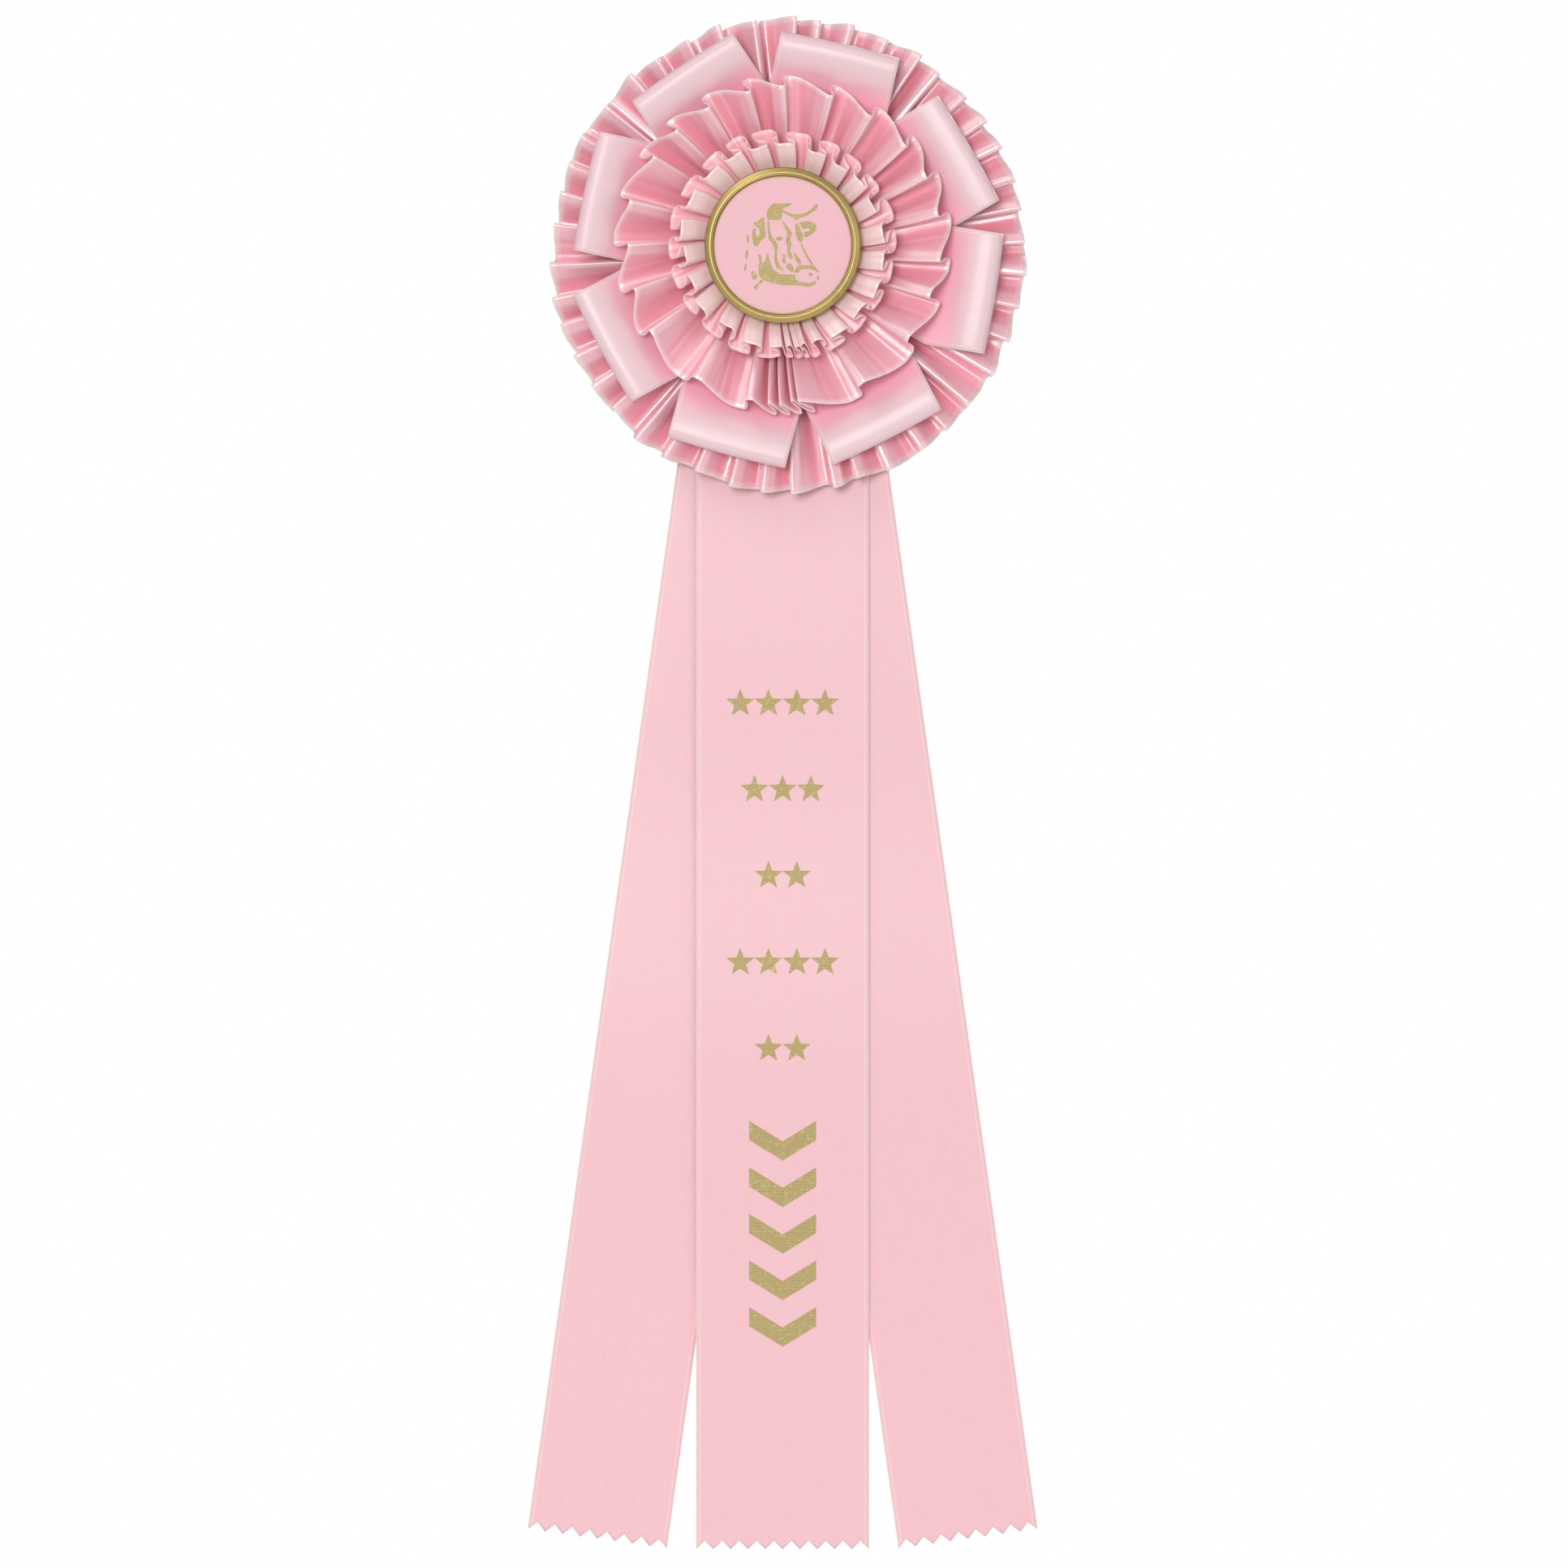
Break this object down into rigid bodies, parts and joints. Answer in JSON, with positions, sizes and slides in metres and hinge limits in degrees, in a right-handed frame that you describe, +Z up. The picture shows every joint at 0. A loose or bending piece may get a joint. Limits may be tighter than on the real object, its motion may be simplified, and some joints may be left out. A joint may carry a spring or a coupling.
{
  "type": "award ribbon rosette",
  "caption": "Pleated satin rosette with a button centre and three hanging ribbon streamers, worn or hung by a bar pin on its back.",
  "frame": {"origin": "middle of the back card's rear face, on the axis of the button", "axes": "+Z up, opposite to the hanging streamers; the front faces -Y, so +Y points at the wearer or the wall; +X is to the right of someone who looks at the front"},
  "size_m": [0.1498, 0.0351, 0.4499],
  "materials": {
    "outer_satin": "satin",
    "loop_satin": "satin",
    "middle_satin": "satin",
    "inner_satin": "satin",
    "streamer_satin": "satin",
    "gold_foil": "satin",
    "printed_disc": "satin",
    "antique_brass": "satin",
    "card": "matte",
    "staple_wire": "satin",
    "nickel_steel": "satin"
  },
  "bodies": {
    "rosette": {"button_shell": "antique_brass", "button_insert": "printed_disc", "button_prong_plate": "nickel_steel", "centre_card": "card", "inner_frill": "inner_satin", "frill_card": "card", "middle_frill": "middle_satin", "loop_1": "loop_satin", "loop_2": "loop_satin", "loop_3": "loop_satin", "loop_4": "loop_satin", "loop_5": "loop_satin", "loop_6": "loop_satin", "loop_7": "loop_satin", "loop_8": "loop_satin", "loop_staple_1": "staple_wire", "loop_staple_2": "staple_wire", "loop_staple_3": "staple_wire", "loop_staple_4": "staple_wire", "loop_staple_5": "staple_wire", "loop_staple_6": "staple_wire", "loop_staple_7": "staple_wire", "loop_staple_8": "staple_wire", "outer_frill": "outer_satin", "base_card": "card", "streamer_staple_1": "staple_wire", "streamer_staple_2": "staple_wire", "streamer_staple_3": "staple_wire", "left_streamer_tab": "streamer_satin", "right_streamer_tab": "streamer_satin", "centre_streamer_tab": "streamer_satin", "back_card": "card", "pin_plate": "nickel_steel", "pin_rivet": "nickel_steel"},
    "centre_streamer": {"centre_streamer": "streamer_satin"},
    "left_streamer": {"left_streamer": "streamer_satin"},
    "right_streamer": {"right_streamer": "streamer_satin"},
    "pin_needle": {"pin_needle": "nickel_steel"},
    "pin_catch_barrel": {"pin_catch_barrel": "nickel_steel"}
  },
  "joints": [
    {"name": "centre_streamer_swing", "type": "hinge", "parent": "rosette", "child": "centre_streamer", "pos_m": [0, -0.0034, -0.0755], "axis": [-1, 0, 0], "range_deg": [0, 75]},
    {"name": "left_streamer_swing", "type": "hinge", "parent": "rosette", "child": "left_streamer", "pos_m": [0, -0.00235, -0.0755], "axis": [1, 0, 0], "range_deg": [0, 50]},
    {"name": "right_streamer_swing", "type": "hinge", "parent": "rosette", "child": "right_streamer", "pos_m": [0, -0.00235, -0.0755], "axis": [1, 0, 0], "range_deg": [0, 50]},
    {"name": "pin_needle_swing", "type": "hinge", "parent": "rosette", "child": "pin_needle", "pos_m": [-0.013, 0.0037, 0.016], "axis": [0, 0, 1], "range_deg": [0, 80]},
    {"name": "pin_catch_turn", "type": "hinge", "parent": "rosette", "child": "pin_catch_barrel", "pos_m": [0.0138, 0.0037, 0.016], "axis": [-1, 0, 0], "range_deg": [0, 95]}
  ],
  "couplings": [
    {"joint": "right_streamer_swing", "follows": "left_streamer_swing", "ratio": 1}
  ]
}
